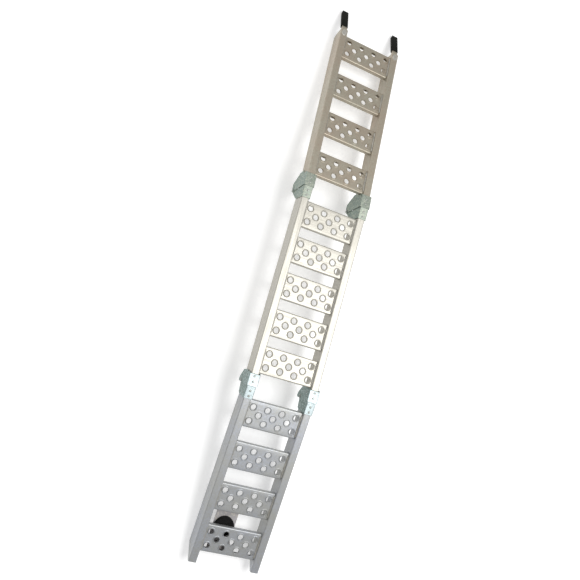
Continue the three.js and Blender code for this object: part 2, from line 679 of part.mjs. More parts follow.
function buildRamp() {
  const ramp = new THREE.Group();
  ramp.rotation.x = restTilt();
  addMiddleSection(ramp);
  addUpperSection(ramp);
  addLowerSection(ramp);
  ramp.updateMatrixWorld(true);
  const box = new THREE.Box3().setFromObject(ramp, true);
  const middle = box.getCenter(new THREE.Vector3());
  ramp.position.set(-middle.x, -middle.y, -box.min.z);
  return ramp;
}

export default buildRamp();
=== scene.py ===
"""Visual model of a three-section folding dog ramp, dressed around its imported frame.

Metres, +Z up, +Y up the ramp, +X across it. Every section is worked out in its own frame: the deck
line of its rails is z = 0, and y runs outward from the seam where it is hinged, or, on the middle
section, from its own centre towards the upper seam.
"""

import logging
import math
from dataclasses import dataclass, field
from enum import Enum
from typing import Iterable, List, Sequence, Tuple, Union

import bpy
from mathutils import Matrix, Vector


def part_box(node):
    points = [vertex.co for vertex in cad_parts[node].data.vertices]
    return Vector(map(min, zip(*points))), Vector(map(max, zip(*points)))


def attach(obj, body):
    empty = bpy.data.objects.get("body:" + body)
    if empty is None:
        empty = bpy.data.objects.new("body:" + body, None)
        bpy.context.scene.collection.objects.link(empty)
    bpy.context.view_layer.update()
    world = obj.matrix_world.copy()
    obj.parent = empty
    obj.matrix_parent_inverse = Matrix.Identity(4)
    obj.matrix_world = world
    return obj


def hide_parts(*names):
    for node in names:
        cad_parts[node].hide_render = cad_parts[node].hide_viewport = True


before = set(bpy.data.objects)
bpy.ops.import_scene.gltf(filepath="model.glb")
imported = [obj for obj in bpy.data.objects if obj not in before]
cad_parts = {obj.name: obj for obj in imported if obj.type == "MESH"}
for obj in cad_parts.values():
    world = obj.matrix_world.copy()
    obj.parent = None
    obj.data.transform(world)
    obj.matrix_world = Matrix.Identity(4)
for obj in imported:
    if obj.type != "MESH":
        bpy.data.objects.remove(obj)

LOG = logging.getLogger("dog_ramp")
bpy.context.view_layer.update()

Shape = bpy.types.Object
Socket = bpy.types.NodeSocket
Point2 = Tuple[float, float]
Point3 = Tuple[float, float, float]
Colour = Tuple[float, float, float]
Tone = Union[Socket, Colour]

MM = 0.001
MERGE_WITHIN = 1e-6
TOO_SMALL = 1e-7
ROUND_STEPS = 32
CUT_REACH = 0.1
NOISE_RANGE = (0.3, 0.7)


# ---- small tools ----


class Plane(Enum):
    """The plane that an outline is drawn on; a body is pulled out along its normal."""

    SIDE = "yz"
    SECTION = "xz"
    PLAN = "xy"

    def point(self, first: float, second: float, along: float) -> Vector:
        """Place an outline point.

        Args:
            first: the outline's first coordinate.
            second: the outline's second coordinate.
            along: the distance along the plane's normal.

        Returns:
            The point in space.
        """
        if self is Plane.SIDE:
            return Vector((along, first, second))
        if self is Plane.SECTION:
            return Vector((first, along, second))
        return Vector((first, second, along))


def select_only(piece: Shape) -> None:
    """Select one piece and make it the active one."""
    bpy.ops.object.select_all(action="DESELECT")
    piece.select_set(True)
    bpy.context.view_layer.objects.active = piece


def make_normals_point_out(piece: Shape) -> None:
    """Merge doubled points and turn every face outward."""
    select_only(piece)
    bpy.ops.object.mode_set(mode="EDIT")
    bpy.ops.mesh.select_all(action="SELECT")
    bpy.ops.mesh.remove_doubles(threshold=MERGE_WITHIN)
    bpy.ops.mesh.dissolve_degenerate(threshold=TOO_SMALL)
    bpy.ops.mesh.select_all(action="SELECT")
    bpy.ops.mesh.normals_make_consistent(inside=False)
    bpy.ops.object.mode_set(mode="OBJECT")


def pulled_outline(
    name: str, outline: Sequence[Point2], start: float, end: float, plane: Plane
) -> Shape:
    """Pull a closed outline out into a straight-sided body.

    Args:
        name: the new object's name.
        outline: the outline's points, in order.
        start: where the body begins along the plane's normal.
        end: where it ends.
        plane: the plane that the outline lies on.

    Returns:
        The new object.
    """
    bpy.ops.object.select_all(action="DESELECT")
    bpy.ops.mesh.primitive_circle_add(vertices=len(outline), radius=1, fill_type="NGON")
    piece = bpy.context.object
    piece.name = name
    for vertex, (first, second) in zip(piece.data.vertices, outline):
        vertex.co = plane.point(first, second, start)
    bpy.ops.object.mode_set(mode="EDIT")
    bpy.ops.mesh.select_all(action="SELECT")
    bpy.ops.mesh.extrude_region_move(
        TRANSFORM_OT_translate={"value": plane.point(0, 0, end - start)}
    )
    bpy.ops.object.mode_set(mode="OBJECT")
    make_normals_point_out(piece)
    return piece


def turned(name: str, profile: Sequence[Point2], steps: int, degrees: float) -> Shape:
    """Spin a closed profile of (radius, height) points round the z axis.

    Args:
        name: the new object's name.
        profile: the closed profile, in order.
        steps: how many faces go round.
        degrees: the angle past which an edge is shaded sharp.

    Returns:
        The new object.
    """
    bpy.ops.object.select_all(action="DESELECT")
    bpy.ops.mesh.primitive_circle_add(vertices=len(profile), radius=1, fill_type="NOTHING")
    piece = bpy.context.object
    piece.name = name
    for vertex, (radius, height) in zip(piece.data.vertices, profile):
        vertex.co = (radius, 0, height)
    bpy.ops.object.mode_set(mode="EDIT")
    bpy.ops.mesh.select_all(action="SELECT")
    bpy.ops.mesh.spin(
        steps=steps, angle=2 * math.pi, center=(0, 0, 0), axis=(0, 0, 1), use_auto_merge=True
    )
    bpy.ops.object.mode_set(mode="OBJECT")
    make_normals_point_out(piece)
    smooth(piece, degrees)
    return piece


def apply_modifier(piece: Shape, modifier: bpy.types.Modifier) -> None:
    """Apply a modifier that has just been added to a piece."""
    select_only(piece)
    bpy.ops.object.modifier_apply(modifier=modifier.name)


def carve(piece: Shape, tool: Shape, operation: str = "DIFFERENCE") -> None:
    """Cut a piece with a tool body, and put the tool away."""
    modifier = piece.modifiers.new("carve", "BOOLEAN")
    modifier.operation = operation
    modifier.solver = "EXACT"
    modifier.object = tool
    apply_modifier(piece, modifier)
    bpy.data.objects.remove(tool, do_unlink=True)


def soften(piece: Shape, width: float, segments: int, degrees: float) -> None:
    """Round the edges of a piece that are sharper than an angle."""
    modifier = piece.modifiers.new("soften", "BEVEL")
    modifier.width = width
    modifier.segments = segments
    modifier.limit_method = "ANGLE"
    modifier.angle_limit = math.radians(degrees)
    apply_modifier(piece, modifier)


def smooth(piece: Shape, degrees: float) -> None:
    """Shade a piece smooth except at its sharp edges."""
    select_only(piece)
    bpy.ops.object.shade_smooth_by_angle(angle=math.radians(degrees))


def joined(name: str, pieces: Sequence[Shape]) -> Shape:
    """Join several objects into the first, under a new name."""
    bpy.ops.object.select_all(action="DESELECT")
    for piece in pieces:
        piece.select_set(True)
    bpy.context.view_layer.objects.active = pieces[0]
    bpy.ops.object.join()
    pieces[0].name = name
    return pieces[0]


def copied(name: str, pattern: Shape, place: Matrix) -> Shape:
    """Copy a pattern with its own mesh, with its place in the mesh.

    Args:
        name: the copy's name.
        pattern: the piece to copy.
        place: where the copy goes.

    Returns:
        The copy, whose object stays at the origin.
    """
    mesh = pattern.data.copy()
    mesh.name = name
    mesh.transform(place)
    if place.determinant() < 0:
        mesh.flip_normals()
    piece = bpy.data.objects.new(name, mesh)
    bpy.context.scene.collection.objects.link(piece)
    return piece


def put_away(pieces: Iterable[Shape]) -> None:
    """Remove patterns that have been copied."""
    for piece in pieces:
        bpy.data.objects.remove(piece, do_unlink=True)


def arc(centre: Point2, radius: float, start: float, end: float, steps: int) -> List[Point2]:
    """Points on an arc.

    Args:
        centre: the arc's centre.
        radius: its radius.
        start: the angle in degrees where it begins.
        end: the angle in degrees where it ends.
        steps: how many chords it has.

    Returns:
        The points, both ends included.
    """
    angles = [math.radians(start + (end - start) * step / steps) for step in range(steps + 1)]
    return [
        (centre[0] + radius * math.cos(angle), centre[1] + radius * math.sin(angle))
        for angle in angles
    ]


def ring(centre: Point2, radius: float) -> List[Point2]:
    """The outline of a round hole."""
    return arc(centre, radius, 0, 360 - 360 / ROUND_STEPS, ROUND_STEPS - 1)


def in_mm(points: Iterable[Point2]) -> List[Point2]:
    """Points given in millimetres, in metres."""
    return [(first * MM, second * MM) for first, second in points]


def rounded_box(low: Point2, high: Point2, radius: float, steps: int) -> List[Point2]:
    """The outline of a rectangle with rounded corners, from its low and high corners."""
    return [
        *arc((high[0] - radius, high[1] - radius), radius, 0, 90, steps),
        *arc((low[0] + radius, high[1] - radius), radius, 90, 180, steps),
        *arc((low[0] + radius, low[1] + radius), radius, 180, 270, steps),
        *arc((high[0] - radius, low[1] + radius), radius, 270, 360, steps),
    ]


# ---- finishes ----


class Graph:
    """A material's node graph, with short calls for the nodes that the finishes share."""

    MIX_COLOURS_IN = (6, 7)
    MIX_COLOUR_OUT = 2

    def __init__(self, name: str) -> None:
        """Start an empty graph with a Principled shader."""
        self.material = bpy.data.materials.new(name)
        self.material.use_nodes = True
        self.nodes = self.material.node_tree.nodes
        self.links = self.material.node_tree.links
        self.shader = self.nodes["Principled BSDF"]
        self.coordinates = self.nodes.new("ShaderNodeTexCoord")
        self.place = self.coordinates.outputs["Object"]

    def constant(self, socket: str, value: Union[float, Tuple[float, ...]]) -> None:
        """Set a shader value that is the same all over the surface."""
        self.shader.inputs[socket].default_value = value

    def stretched(self, scale: Point3) -> Socket:
        """Object coordinates scaled differently along each axis."""
        mapping = self.nodes.new("ShaderNodeMapping")
        mapping.inputs["Scale"].default_value = scale
        self.links.new(self.place, mapping.inputs["Vector"])
        return mapping.outputs["Vector"]

    def noise(self, where: Socket, scale: float, detail: float, rough: float) -> Socket:
        """A noise pattern's value."""
        node = self.nodes.new("ShaderNodeTexNoise")
        node.inputs["Scale"].default_value = scale
        node.inputs["Detail"].default_value = detail
        node.inputs["Roughness"].default_value = rough
        self.links.new(where, node.inputs["Vector"])
        return node.outputs["Fac"]

    def cells(self, scale: float) -> Socket:
        """The random shade of crystal-like cells."""
        node = self.nodes.new("ShaderNodeTexVoronoi")
        node.inputs["Scale"].default_value = scale
        self.links.new(self.place, node.inputs["Vector"])
        return node.outputs["Color"]

    def upward(self) -> Socket:
        """The upward share of the surface's normal, on the piece's own axes."""
        parts = self.nodes.new("ShaderNodeSeparateXYZ")
        self.links.new(self.coordinates.outputs["Normal"], parts.inputs["Vector"])
        return parts.outputs["Z"]

    def spread(self, value: Socket, low: float, high: float, start: float, end: float) -> Socket:
        """Map a value from one range to another."""
        node = self.nodes.new("ShaderNodeMapRange")
        node.inputs["From Min"].default_value = low
        node.inputs["From Max"].default_value = high
        node.inputs["To Min"].default_value = start
        node.inputs["To Max"].default_value = end
        self.links.new(value, node.inputs["Value"])
        return node.outputs["Result"]

    def layered(
        self, under: Tone, over: Tone, pattern: Socket, low: float, high: float, most: float
    ) -> Socket:
        """Lay one colour over another where a pattern is high.

        Args:
            under: the colour below, or the socket that gives it.
            over: the colour on top, or its socket.
            pattern: the pattern that brings the top colour out.
            low: the pattern's value up to which it doesn't show.
            high: the pattern's value from which it shows most.
            most: how much of it shows there.

        Returns:
            The mixed colour.
        """
        node = self.nodes.new("ShaderNodeMix")
        node.data_type = "RGBA"
        self.links.new(self.spread(pattern, low, high, 0, most), node.inputs["Factor"])
        for index, colour in zip(self.MIX_COLOURS_IN, (under, over)):
            if isinstance(colour, tuple):
                node.inputs[index].default_value = (*colour, 1)
            else:
                self.links.new(colour, node.inputs[index])
        return node.outputs[self.MIX_COLOUR_OUT]

    def bump(self, height: Socket, strength: float, distance: float) -> None:
        """Press a height pattern into the surface, over any that is there."""
        node = self.nodes.new("ShaderNodeBump")
        node.inputs["Strength"].default_value = strength
        node.inputs["Distance"].default_value = distance
        self.links.new(height, node.inputs["Height"])
        normal = self.shader.inputs["Normal"]
        if normal.is_linked:
            self.links.new(normal.links[0].from_socket, node.inputs["Normal"])
        self.links.new(node.outputs["Normal"], normal)

    def colour(self, socket: Socket) -> None:
        """Drive the base colour."""
        self.links.new(socket, self.shader.inputs["Base Color"])

    def roughness(self, pattern: Socket, least: float, most: float) -> None:
        """Let a noise pattern drive the roughness between two values."""
        value = self.spread(pattern, *NOISE_RANGE, least, most)
        self.links.new(value, self.shader.inputs["Roughness"])


def shade(colour: Colour, factor: float) -> Colour:
    """A colour made darker or lighter, kept within its range."""
    return tuple(min(channel * factor, 0.95) for channel in colour)


class Grain(Enum):
    """Which way a metal's brushing runs."""

    ACROSS = (6, 420, 420)
    ALONG = (420, 6, 420)


@dataclass(frozen=True)
class BrushedAluminium:
    """Mill aluminium with fine brushing, specks, soft cloudy stains and scuffs."""

    name: str
    base: Colour
    stain: Colour
    grain: Grain
    speck: float = 0.45
    cloud: float = 0.6
    metallic: float = 0.55
    rough: float = 0.4

    def material(self) -> bpy.types.Material:
        """Build the node material."""
        graph = Graph(self.name)
        graph.constant("Metallic", self.metallic)
        lines = graph.noise(graph.stretched(self.grain.value), 1.0, 4, 0.6)
        clouds = graph.noise(graph.place, 7.0, 4, 0.6)
        specks = graph.noise(graph.place, 420.0, 2, 0.7)
        scuffs = graph.noise(graph.stretched((34, 60, 40)), 1.3, 5, 0.72)
        mottle = graph.noise(graph.place, 130.0, 5, 0.75)
        brushed = graph.layered(self.base, shade(self.base, 0.72), lines, *NOISE_RANGE, 0.3)
        mottled = graph.layered(brushed, shade(self.stain, 0.85), mottle, 0.44, 0.6, 0.55)
        stained = graph.layered(mottled, self.stain, clouds, 0.4, 0.66, self.cloud)
        speckled = graph.layered(stained, shade(self.base, 0.5), specks, 0.52, 0.68, self.speck)
        graph.colour(graph.layered(speckled, shade(self.base, 1.25), scuffs, 0.62, 0.75, 0.5))
        graph.roughness(lines, self.rough - 0.08, self.rough + 0.12)
        graph.bump(lines, 0.12, 0.2 * MM)
        graph.bump(specks, 0.1, 0.2 * MM)
        return graph.material


@dataclass(frozen=True)
class ZincPlate:
    """Zinc-plated sheet: greenish grey, crystal cells, pits, pale blooms, and a painted highlight
    on tops.
    """

    name: str
    base: Colour
    bloom_and_highlight: Colour
    metallic: float = 0.55
    rough: float = 0.42
    # How far faces that point up are lightened to the bloom colour, as a painted highlight.
    top_highlight: float = 0.6

    def material(self) -> bpy.types.Material:
        """Build the node material."""
        graph = Graph(self.name)
        graph.constant("Metallic", self.metallic)
        cells = graph.cells(190.0)
        blooms = graph.noise(graph.place, 165.0, 4, 0.7)
        fine = graph.noise(graph.place, 500.0, 2, 0.6)
        pits = graph.noise(graph.place, 300.0, 3, 0.7)
        crystal = graph.layered(self.base, shade(self.base, 0.6), cells, 0, 1, 0.5)
        # Painted highlight: faces that point up are lightened towards the bloom colour, for the
        # light that falls on them.
        highlit_top = graph.layered(crystal, self.bloom_and_highlight, graph.upward(), 0.6, 0.9, self.top_highlight)
        bloomed = graph.layered(highlit_top, self.bloom_and_highlight, blooms, 0.5, 0.61, 0.75)
        graph.colour(graph.layered(bloomed, shade(self.base, 0.4), pits, 0.53, 0.66, 0.7))
        graph.roughness(blooms, self.rough - 0.1, self.rough + 0.2)
        graph.bump(fine, 0.1, 0.2 * MM)
        return graph.material


@dataclass(frozen=True)
class WeldMetal:
    """The bright rippled metal of a weld, with smoke round it."""

    name: str
    base: Colour
    metallic: float = 0.6

    def material(self) -> bpy.types.Material:
        """Build the node material."""
        graph = Graph(self.name)
        graph.constant("Metallic", self.metallic)
        soot = graph.noise(graph.place, 90.0, 4, 0.7)
        grit = graph.noise(graph.place, 700.0, 3, 0.6)
        graph.colour(graph.layered(self.base, shade(self.base, 0.4), soot, 0.45, 0.75, 0.7))
        graph.roughness(soot, 0.3, 0.55)
        graph.bump(grit, 0.2, 0.3 * MM)
        return graph.material


@dataclass(frozen=True)
class Rubber:
    """Matt black rubber with a dusty bloom and a fine pebble."""

    name: str
    base: Colour
    dust: Colour
    gloss: float = 0.12

    def material(self) -> bpy.types.Material:
        """Build the node material."""
        graph = Graph(self.name)
        graph.constant("Specular IOR Level", self.gloss)
        dust = graph.noise(graph.place, 45.0, 5, 0.7)
        pebble = graph.noise(graph.place, 900.0, 2, 0.5)
        graph.colour(graph.layered(self.base, self.dust, dust, 0.5, 0.8, 0.6))
        graph.roughness(dust, 0.6, 0.85)
        graph.bump(pebble, 0.25, 0.4 * MM)
        return graph.material


@dataclass(frozen=True)
class Webbing:
    """Woven strap: slanting ribs, with a paler thread and fuzz on them."""

    name: str
    base: Colour
    thread: Colour
    sheen: float = 0.04
    gloss: float = 0.15

    def material(self) -> bpy.types.Material:
        """Build the node material."""
        graph = Graph(self.name)
        graph.constant("Sheen Weight", self.sheen)
        graph.constant("Specular IOR Level", self.gloss)
        wave = graph.nodes.new("ShaderNodeTexWave")
        wave.wave_type = "BANDS"
        wave.bands_direction = "DIAGONAL"
        wave.inputs["Scale"].default_value = 420.0
        wave.inputs["Distortion"].default_value = 0.6
        graph.links.new(graph.place, wave.inputs["Vector"])
        ribs = wave.outputs["Fac"]
        fuzz = graph.noise(graph.place, 260.0, 4, 0.7)
        woven = graph.layered(self.base, self.thread, ribs, 0.3, 0.9, 0.7)
        graph.colour(graph.layered(woven, self.thread, fuzz, 0.55, 0.8, 0.4))
        graph.roughness(fuzz, 0.7, 0.95)
        graph.bump(ribs, 0.4, 0.4 * MM)
        return graph.material


@dataclass(frozen=True)
class BlotchedSheet:
    """Dull grey sheet with a mauve cast and cream and pinkish blotches along it."""

    name: str
    base: Colour
    cream: Colour
    pink: Colour
    metallic: float = 0.25

    def material(self) -> bpy.types.Material:
        """Build the node material."""
        graph = Graph(self.name)
        graph.constant("Metallic", self.metallic)
        blotches = graph.noise(graph.place, 75.0, 4, 0.6)
        islands = graph.noise(graph.stretched((38, 60, 38)), 1.0, 5, 0.65)
        grain = graph.noise(graph.place, 480.0, 2, 0.6)
        # Cream blotches and pinkish islands are lighter and tinted patches laid by noise.
        creamed = graph.layered(self.base, self.cream, blotches, 0.52, 0.62, 0.7)
        tinted = graph.layered(creamed, self.pink, islands, 0.55, 0.68, 0.6)
        graph.colour(graph.layered(tinted, shade(self.base, 0.55), grain, 0.5, 0.7, 0.35))
        graph.roughness(blotches, 0.45, 0.7)
        graph.bump(grain, 0.15, 0.2 * MM)
        return graph.material


@dataclass(frozen=True)
class StudioFloor:
    """The plain pale floor, with the faintest unevenness."""

    name: str
    base: Colour
    glow: float
    rough: float = 0.9
    gloss: float = 0.1

    def material(self) -> bpy.types.Material:
        """Build the node material."""
        graph = Graph(self.name)
        drift = graph.noise(graph.place, 0.8, 2, 0.5)
        graph.colour(graph.layered(self.base, shade(self.base, 0.985), drift, *NOISE_RANGE, 1))
        graph.constant("Roughness", self.rough)
        graph.constant("Specular IOR Level", self.gloss)
        graph.constant("Emission Color", (1, 1, 1, 1))
        graph.constant("Emission Strength", self.glow)
        return graph.material


class Finishes:
    """Every material of the ramp, made once."""

    def __init__(self) -> None:
        """Build them."""
        # Each section's aluminium has its own tone: warm grey upper, lightest middle, cool grey
        # lower.
        section_tones = {
            "upper": dict(base=(0.47, 0.445, 0.36), stain=(0.44, 0.35, 0.27)),
            "middle": dict(base=(0.55, 0.53, 0.475), stain=(0.50, 0.48, 0.42)),
            "lower": dict(base=(0.435, 0.455, 0.495), stain=(0.41, 0.405, 0.36)),
        }
        rail_specks = {"upper": 0.15, "middle": 0.1, "lower": 0.15}
        self.tread, self.rail = {}, {}
        for section, section_tone in section_tones.items():
            tread = BrushedAluminium(f"aluminium_{section}_tread", grain=Grain.ACROSS, **section_tone)
            self.tread[section] = tread.material()
        for section, section_tone in section_tones.items():
            name, specks = f"aluminium_{section}_rail", rail_specks[section]
            rail = BrushedAluminium(name, grain=Grain.ALONG, speck=specks, **section_tone)
            self.rail[section] = rail.material()
        self.weld = WeldMetal("weld_metal", (0.56, 0.54, 0.49)).material()
        # On each zinc, faces that point up get a painted highlight in the bloom colour, strongest
        # on the lower hinges.
        self.zinc_upper = ZincPlate(
            "zinc_plate_upper", (0.235, 0.31, 0.275), (0.62, 0.64, 0.53), top_highlight=0.4
        ).material()
        self.zinc_lower = ZincPlate(
            "zinc_plate_lower", (0.20, 0.275, 0.25), (0.64, 0.73, 0.75), top_highlight=0.9
        ).material()
        self.fastener = ZincPlate(
            "zinc_fastener", (0.30, 0.33, 0.31), (0.55, 0.56, 0.52), metallic=0.7, rough=0.35
        ).material()
        self.rubber = Rubber(
            "black_rubber", (0.008, 0.009, 0.007), (0.022, 0.023, 0.02)
        ).material()
        self.webbing = Webbing(
            "black_webbing", (0.006, 0.006, 0.006), (0.018, 0.018, 0.018)
        ).material()
        self.tray = BlotchedSheet(
            "strap_tray_sheet", (0.52, 0.50, 0.505), (0.80, 0.76, 0.66), (0.62, 0.48, 0.47)
        ).material()


# ---- layout ----


@dataclass
class Layout:
    """Where the three sections are, with the sizes that several sub-assemblies share."""

    middle_length: float = 827 * MM
    upper_length: float = 768 * MM
    arch: float = math.radians(8.7)
    rail_width: float = 32 * MM
    rail_height: float = 76 * MM
    width: float = 292 * MM
    seam_gap: float = 0.4 * MM
    tread_recess: float = 11 * MM
    tread_flange: float = 20 * MM
    tilt: float = field(init=False)
    middle: Matrix = field(init=False)

    def __post_init__(self) -> None:
        """Find the middle section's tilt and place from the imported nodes."""
        first = sum(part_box("middle_tread_1"), Vector()) / 2
        last = sum(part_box("middle_tread_5"), Vector()) / 2
        run = first - last
        self.tilt = math.atan2(run.z, run.y)
        turn = Matrix.Rotation(self.tilt, 4, "X")
        centre = (first + last) / 2
        down = self.tread_recess + self.tread_flange / 2
        self.middle = Matrix.Translation(centre + turn @ Vector((0, 0, down))) @ turn

    @property
    def rail_x(self) -> float:
        """The distance of a rail's middle from the ramp's middle."""
        return (self.width - self.rail_width) / 2

    def section(self, name: str) -> Matrix:
        """The frame of a section: upper and lower have y outward from their seam."""
        if name == "middle":
            return self.middle
        tip = Matrix.Rotation(-self.arch, 4, "X")
        if name == "upper":
            return self.middle @ Matrix.Translation((0, self.middle_length / 2, 0)) @ tip
        return self.at_seam("lower") @ tip

    def at_seam(self, seam: str) -> Matrix:
        """A frame on the middle section's end, with y from the seam back over the other side.

        Args:
            seam: "upper" or "lower".

        Returns:
            At the upper seam, y runs up the ramp; at the lower one, down it.
        """
        sign = 1 if seam == "upper" else -1
        shift = Matrix.Translation((0, sign * self.middle_length / 2, 0))
        turn = Matrix.Identity(4) if sign > 0 else Matrix.Rotation(math.pi, 4, "Z")
        return self.middle @ shift @ turn

    def middle_side_of_seam(self, seam: str) -> Matrix:
        """A frame on the middle section's end, with y from the seam towards its middle."""
        return self.at_seam(seam) @ Matrix.Rotation(math.pi, 4, "Z")

    def seam_y(self, z: float) -> float:
        """Where the mitred seam plane is at a height."""
        return self.seam_gap - z * math.tan(self.arch / 2)


@dataclass
class Piece:
    """A finished piece, with what it stands for and what it moves with."""

    obj: Shape
    body: str
    slot: str
    stands_for: Tuple[str, ...] = ()

    def settle(self) -> None:
        """Tell the frame about the piece and report it."""
        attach(self.obj, self.body)
        if self.stands_for:
            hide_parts(*self.stands_for)
        LOG.info("%s: %d faces, on %s", self.obj.name, len(self.obj.data.polygons), self.body)


# ---- treads ----


@dataclass
class PunchedTreads:
    """Folded tread channels with raised, flared holes and a weld at each end."""

    layout: Layout
    finishes: Finishes
    depth: float = 110 * MM
    sheet: float = 3 * MM
    bend: float = 5 * MM
    length: float = 227.4 * MM
    hole_pitch: float = 61.5 * MM
    hole_row: float = 28.1 * MM
    hole_rows: Tuple[int, ...] = (4, 3, 4)
    hole_radius: float = 11 * MM
    rim_rise: float = 3.2 * MM
    rim_reach: float = 4.8 * MM
    lip: float = 13 * MM
    corner_cut: float = 1.5 * MM
    bead_radius: float = 4.2 * MM
    bead_ripples: int = 26
    bead_swell: float = 1.28
    bead_share: float = 0.8
    bead_gap: float = 0.25 * MM
    bead_sink: float = 0.1 * MM

    def hole_places(self) -> List[Point2]:
        """The hole centres on a tread, about the tread's own centre."""
        places = []
        for row, count in enumerate(self.hole_rows):
            y = (row - (len(self.hole_rows) - 1) / 2) * self.hole_row
            places += [((i - (count - 1) / 2) * self.hole_pitch, y) for i in range(count)]
        return places

    def channel(self) -> Shape:
        """The folded sheet, with round blanks cut where the holes are."""
        half = self.depth / 2
        low = -self.layout.tread_flange
        inner = self.bend - self.sheet
        lip_top = low + self.sheet
        outline = [
            (-half + self.corner_cut, low),
            (-half + self.lip, low),
            (-half + self.lip, lip_top),
            (-half + self.sheet, lip_top),
            *arc((-half + self.bend, -self.bend), inner, 180, 90, 4),
            *arc((half - self.bend, -self.bend), inner, 90, 0, 4),
            (half - self.sheet, lip_top),
            (half - self.lip, lip_top),
            (half - self.lip, low),
            (half - self.corner_cut, low),
            (half, low + self.corner_cut),
            *arc((half - self.bend, -self.bend), self.bend, 0, 90, 6),
            *arc((-half + self.bend, -self.bend), self.bend, 90, 180, 6),
            (-half, low + self.corner_cut),
        ]
        sheet = pulled_outline("channel", outline, -self.length / 2, self.length / 2, Plane.SIDE)
        blanks = []
        low, high = -3 * self.sheet, 2 * self.sheet
        for place in self.hole_places():
            hole = ring(place, self.hole_radius + 0.6 * self.rim_reach)
            blanks.append(pulled_outline("blank", hole, low, high, Plane.PLAN))
        carve(sheet, joined("blanks", blanks))
        return sheet

    def rim(self) -> Shape:
        """One flared rim: it rises from the sheet, rolls over and runs down into the hole."""
        hole = self.hole_radius
        wide = hole + self.rim_reach
        rise = self.rim_rise
        profile = [
            (wide, -0.4 * MM),
            (wide, 0.1 * MM),
            (wide - 1.2 * MM, 0.5 * MM),
            (wide - 2.2 * MM, 0.68 * rise),
            (hole + 1.5 * MM, rise),
            (hole + 0.6 * MM, 0.93 * rise),
            (hole, 0.6 * rise),
            (hole - 0.1 * MM, -0.3 * rise),
            (hole, -self.sheet - 0.6 * MM),
            (hole + 1.6 * MM, -self.sheet - 0.5 * MM),
            (hole + 2.2 * MM, -self.sheet + 1 * MM),
            (wide - 0.8 * MM, -self.sheet + 0.5 * MM),
        ]
        return turned("rim", profile, ROUND_STEPS, 40)

    def bead(self) -> Shape:
        """A rippled fillet weld along y, in the corner at the origin, facing +x and +z."""
        radius = self.bead_radius
        reach = self.bead_share * self.depth
        outline = [(0, 0), *arc((0, 0), radius, 0, 90, 5)]
        step = reach / (2 * self.bead_ripples)
        bead = pulled_outline("bead", outline, -reach / 2, -reach / 2 + step, Plane.SECTION)
        end = step - reach / 2
        for polygon in bead.data.polygons:
            corners = [bead.data.vertices[index].co for index in polygon.vertices]
            polygon.select = all(corner.y > end - step / 4 for corner in corners)
        bpy.ops.object.mode_set(mode="EDIT")
        bpy.ops.mesh.select_mode(type="FACE")
        for ripple in range(2 * self.bead_ripples - 1):
            scale = 1 / self.bead_swell if ripple % 2 else self.bead_swell
            bpy.ops.mesh.extrude_region_move(TRANSFORM_OT_translate={"value": (0, step, 0)})
            bpy.ops.transform.resize(
                value=(scale, 1, scale), center_override=(0, end + step * (ripple + 1), 0)
            )
        bpy.ops.object.mode_set(mode="OBJECT")
        make_normals_point_out(bead)
        return bead

    def pattern(self) -> Shape:
        """One whole tread about its own centre, its top at z = 0."""
        channel = self.channel()
        rim = self.rim()
        rims = [
            copied("rim_copy", rim, Matrix.Translation((x, y, 0))) for x, y in self.hole_places()
        ]
        bead = self.bead()
        left = Matrix.Translation((-self.length / 2 - self.bead_gap, 0, -self.bead_sink))
        right = Matrix.Scale(-1, 4, (1, 0, 0)) @ left
        beads = [copied("bead_copy", bead, place) for place in (left, right)]
        put_away((rim, bead))
        for piece in (channel, *rims):
            piece.data.materials.append(self.finishes.tread["middle"])
        for piece in beads:
            piece.data.materials.append(self.finishes.weld)
        tread = joined("tread_pattern", [channel, *rims, *beads])
        smooth(tread, 40)
        return tread

    def build(self) -> List[Piece]:
        """Copy the tread to every place of a CAD tread."""
        pattern = self.pattern()
        pieces = []
        for section, count in (("upper", 4), ("middle", 5), ("lower", 4)):
            home = self.layout.section(section)
            back = home.inverted()
            for index in range(1, count + 1):
                node = f"{section}_tread_{index}"
                centre = back @ (sum(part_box(node), Vector()) / 2)
                place = home @ Matrix.Translation((0, centre.y, -self.layout.tread_recess))
                tread = copied(f"{node}_punched", pattern, place)
                tread.data.materials[0] = self.finishes.tread[section]
                slot = f"{section}_aluminium"
                pieces.append(Piece(tread, f"{section}_section", slot, (node,)))
        put_away((pattern,))
        return pieces


# ---- hinges ----


# Turned profiles, as radius and height in millimetres.
SHANK = ((0, -1), (2.4, -1), (2.4, 0))
DOME = ((4.3, 0), (4.6, 0.3), (4.5, 0.8), (3.9, 1.4), (2.6, 1.95), (1.3, 2.15), (0, 2.2))
LOW_HEAD = ((0, -1), (3.9, -1), (4.1, 0.2), (3.9, 0.6), (2.7, 1.2), (0, 1.5))
PIN_HEAD = ((7.2, 0), (7.5, 0.4), (7.1, 1.3), (5, 2), (0, 2.2))
WASHER = ((5.2, -1.5), (6, -1.6), (8.2, -1), (8.5, -0.6), (8.5, 0), (5.2, -0.4))


@dataclass(frozen=True)
class HingeSize:
    """How deep and how long the plates of one hinge are."""

    pin_drop: float
    ear_drop: float
    length: float
    ear_length: float
    ear_level: float


class Hinge(Enum):
    """The two hinge positions of the ramp."""

    UPPER = "upper"
    LOWER = "lower"

    @property
    def size(self) -> HingeSize:
        """The plates' sizes at this hinge."""
        if self is Hinge.UPPER:
            return HingeSize(
                pin_drop=122.5 * MM,
                ear_drop=134 * MM,
                length=62.3 * MM,
                ear_length=78 * MM,
                ear_level=46 * MM,
            )
        return HingeSize(
            pin_drop=82 * MM,
            ear_drop=112 * MM,
            length=53.6 * MM,
            ear_length=58 * MM,
            ear_level=24 * MM,
        )


